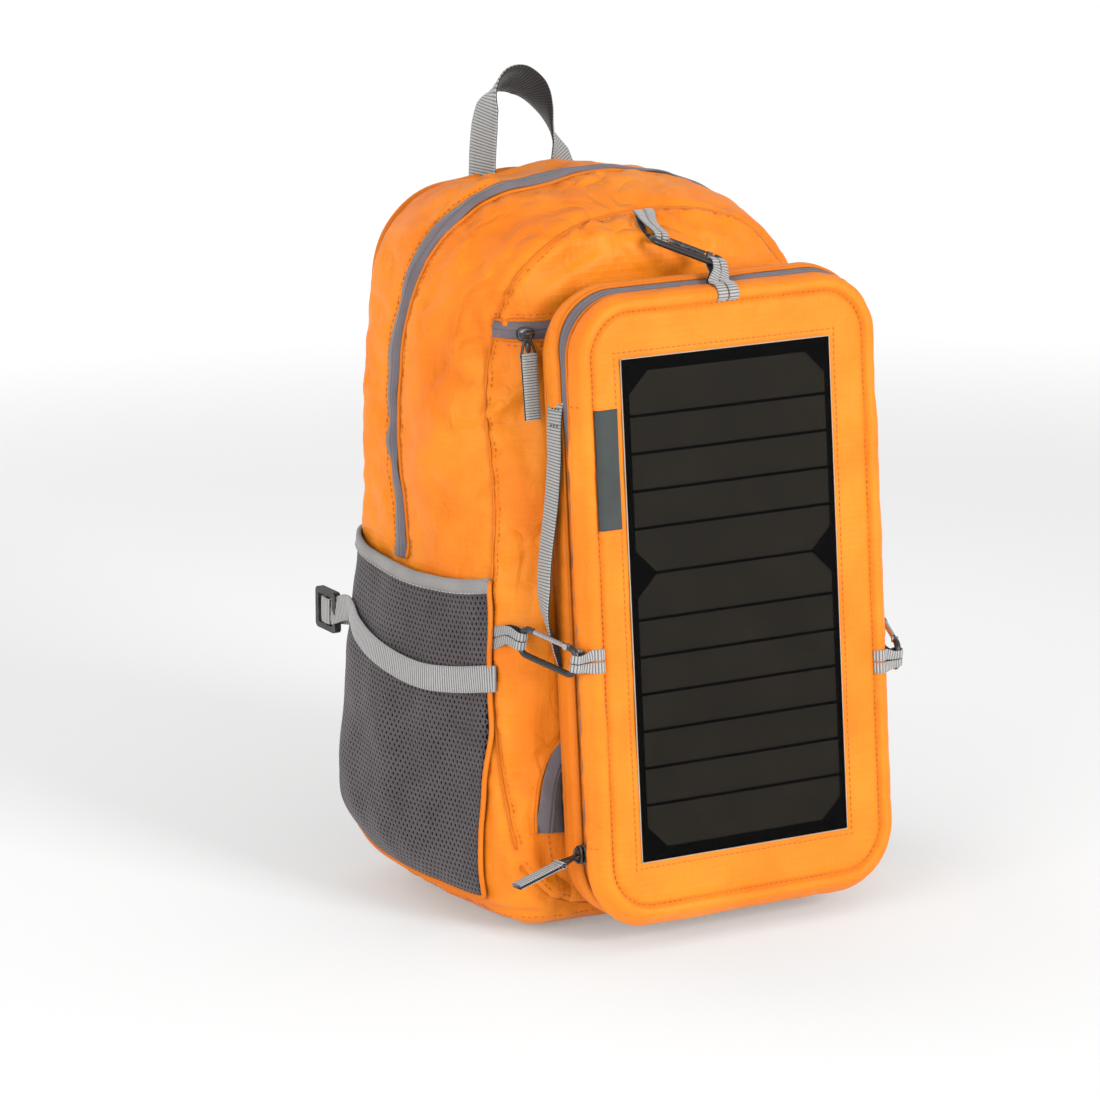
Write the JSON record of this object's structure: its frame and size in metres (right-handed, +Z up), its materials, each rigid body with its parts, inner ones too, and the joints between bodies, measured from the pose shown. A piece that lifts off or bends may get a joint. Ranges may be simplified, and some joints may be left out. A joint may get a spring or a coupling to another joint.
{
  "type": "solar backpack",
  "caption": "Orange soft daypack with mesh side pockets and a zipped pouch that carries a solar panel, clipped to its front by carabiners",
  "frame": {"origin": "on the ground under the pack, midway between its side panels, 64 mm in front of the padded back panel's seam", "axes": "+Z up, the solar panel faces -Y, +X to the right seen from the front"},
  "size_m": [0.3, 0.266, 0.467],
  "materials": {
    "body_fabric": "matte",
    "zip_tape": "matte",
    "mesh": "matte",
    "webbing": "matte",
    "buckle_plastic": "satin",
    "slider_metal": "satin",
    "carabiner": "satin",
    "gate_metal": "satin",
    "backsheet": "satin",
    "cells": "satin",
    "film": "gloss",
    "label": "matte",
    "foam": "matte",
    "case_plastic": "matte",
    "board": "satin",
    "socket_metal": "satin",
    "lead": "matte"
  },
  "bodies": {
    "pack": {"back_panel": "body_fabric", "back_foam": "foam", "rear_shell": "body_fabric", "front_shell": "body_fabric", "bottom_panel": "body_fabric", "main_zip": "zip_tape", "front_pocket_zip": "zip_tape", "lower_pocket_zip": "zip_tape", "left_mesh_pocket": "mesh", "right_mesh_pocket": "mesh", "left_pocket_binding": "webbing", "right_pocket_binding": "webbing", "left_compression_strap": "webbing", "right_compression_strap": "webbing", "left_ladder_lock": "buckle_plastic", "right_ladder_lock": "buckle_plastic", "top_pack_loop": "webbing", "left_pack_loop": "webbing", "right_pack_loop": "webbing"},
    "grab_handle": {"grab_handle": "webbing"},
    "main_slider": {"main_zip_slider": "slider_metal"},
    "main_pull": {"main_zip_pull": "webbing"},
    "front_slider": {"front_pocket_slider": "slider_metal"},
    "front_pull": {"front_pocket_pull": "webbing"},
    "left_strap": {"left_shoulder_strap": "body_fabric", "left_strap_adjuster": "buckle_plastic", "left_strap_webbing": "webbing"},
    "right_strap": {"right_shoulder_strap": "body_fabric", "right_strap_adjuster": "buckle_plastic", "right_strap_webbing": "webbing"},
    "pouch": {"pouch_rear_shell": "body_fabric", "pouch_front_shell": "body_fabric", "pouch_zip": "zip_tape", "pouch_handle": "webbing", "pouch_top_loop": "webbing", "pouch_left_loop": "webbing", "pouch_right_loop": "webbing", "solar_backsheet": "backsheet", "solar_cells": "cells", "solar_film": "film", "label_patch": "label", "controller_base": "case_plastic", "controller_cover": "case_plastic", "controller_board": "board", "usb_socket": "socket_metal", "panel_lead": "lead", "top_carabiner": "carabiner"},
    "pouch_slider": {"pouch_zip_slider": "slider_metal"},
    "pouch_pull": {"pouch_zip_pull": "webbing"},
    "top_clip_gate": {"top_gate": "gate_metal", "top_gate_pin": "gate_metal"},
    "left_clip": {"left_carabiner": "carabiner"},
    "left_clip_gate": {"left_gate": "gate_metal", "left_gate_pin": "gate_metal"},
    "right_clip": {"right_carabiner": "carabiner"},
    "right_clip_gate": {"right_gate": "gate_metal", "right_gate_pin": "gate_metal"}
  },
  "joints": [
    {"name": "grab_handle_fold", "type": "hinge", "parent": "pack", "child": "grab_handle", "pos_m": [-0.021, 0.07, 0.421], "axis": [1, 0, 0], "range_deg": [-35, 35]},
    {"name": "main_zip_run", "type": "slide", "parent": "pack", "child": "main_slider", "axis": [-0.0488, 0, 0.9988], "range_m": [0, 0.052]},
    {"name": "main_pull_swing", "type": "hinge", "parent": "main_slider", "child": "main_pull", "pos_m": [0.12794, 0.022, 0.25219], "axis": [0, -1, 0], "range_deg": [0, 80]},
    {"name": "front_zip_run", "type": "slide", "parent": "pack", "child": "front_slider", "axis": [1, 0, 0], "range_m": [0, 0.165]},
    {"name": "front_pull_swing", "type": "hinge", "parent": "front_slider", "child": "front_pull", "pos_m": [-0.1025, -0.07508, 0.33867], "axis": [-1, 0, 0], "range_deg": [0, 80]},
    {"name": "left_strap_swing", "type": "hinge", "parent": "pack", "child": "left_strap", "pos_m": [-0.05, 0.079, 0.378], "axis": [1, 0, 0], "range_deg": [0, 20]},
    {"name": "right_strap_swing", "type": "hinge", "parent": "pack", "child": "right_strap", "pos_m": [0.05, 0.079, 0.378], "axis": [1, 0, 0], "range_deg": [0, 20]},
    {"name": "pouch_swing", "type": "hinge", "parent": "pack", "child": "pouch", "pos_m": [-0.02007, -0.07095, 0.38401], "axis": [-1, 0, 0], "range_deg": [0, 50], "deforming": ["top_pack_loop", "pouch_left_loop", "pouch_right_loop"]},
    {"name": "pouch_zip_run", "type": "slide", "parent": "pouch", "child": "pouch_slider", "axis": [0, 0.0924, 0.9957], "range_m": [0, 0.095]},
    {"name": "pouch_pull_swing", "type": "hinge", "parent": "pouch_slider", "child": "pouch_pull", "pos_m": [-0.1002, -0.1274, 0.0555], "axis": [0, 0.9957, -0.0924], "range_deg": [-65, 10]},
    {"name": "top_gate_press", "type": "hinge", "parent": "pouch", "child": "top_clip_gate", "pos_m": [0.00802, -0.08445, 0.37359], "axis": [0.2509, -0.2075, 0.9455], "range_deg": [0, 22], "stiffness_Nm_per_rad": 0.05},
    {"name": "left_clip_swing", "type": "hinge", "parent": "pack", "child": "left_clip", "pos_m": [-0.11781, -0.09538, 0.17297], "axis": [-0.0565, 0.1642, -0.9848], "range_deg": [0, 45], "deforming": ["left_pack_loop", "pouch_left_loop"]},
    {"name": "left_gate_press", "type": "hinge", "parent": "left_clip", "child": "left_clip_gate", "pos_m": [-0.10713, -0.1264, 0.1748], "axis": [-0.9455, -0.3256, 0], "range_deg": [0, 22], "stiffness_Nm_per_rad": 0.05},
    {"name": "right_clip_swing", "type": "hinge", "parent": "pack", "child": "right_clip", "pos_m": [0.11781, -0.09538, 0.14897], "axis": [-0.0565, -0.1642, 0.9848], "range_deg": [0, 45], "deforming": ["right_pack_loop", "pouch_right_loop"]},
    {"name": "right_gate_press", "type": "hinge", "parent": "right_clip", "child": "right_clip_gate", "pos_m": [0.10713, -0.1264, 0.1508], "axis": [-0.9455, 0.3256, 0], "range_deg": [0, 22], "stiffness_Nm_per_rad": 0.05}
  ]
}
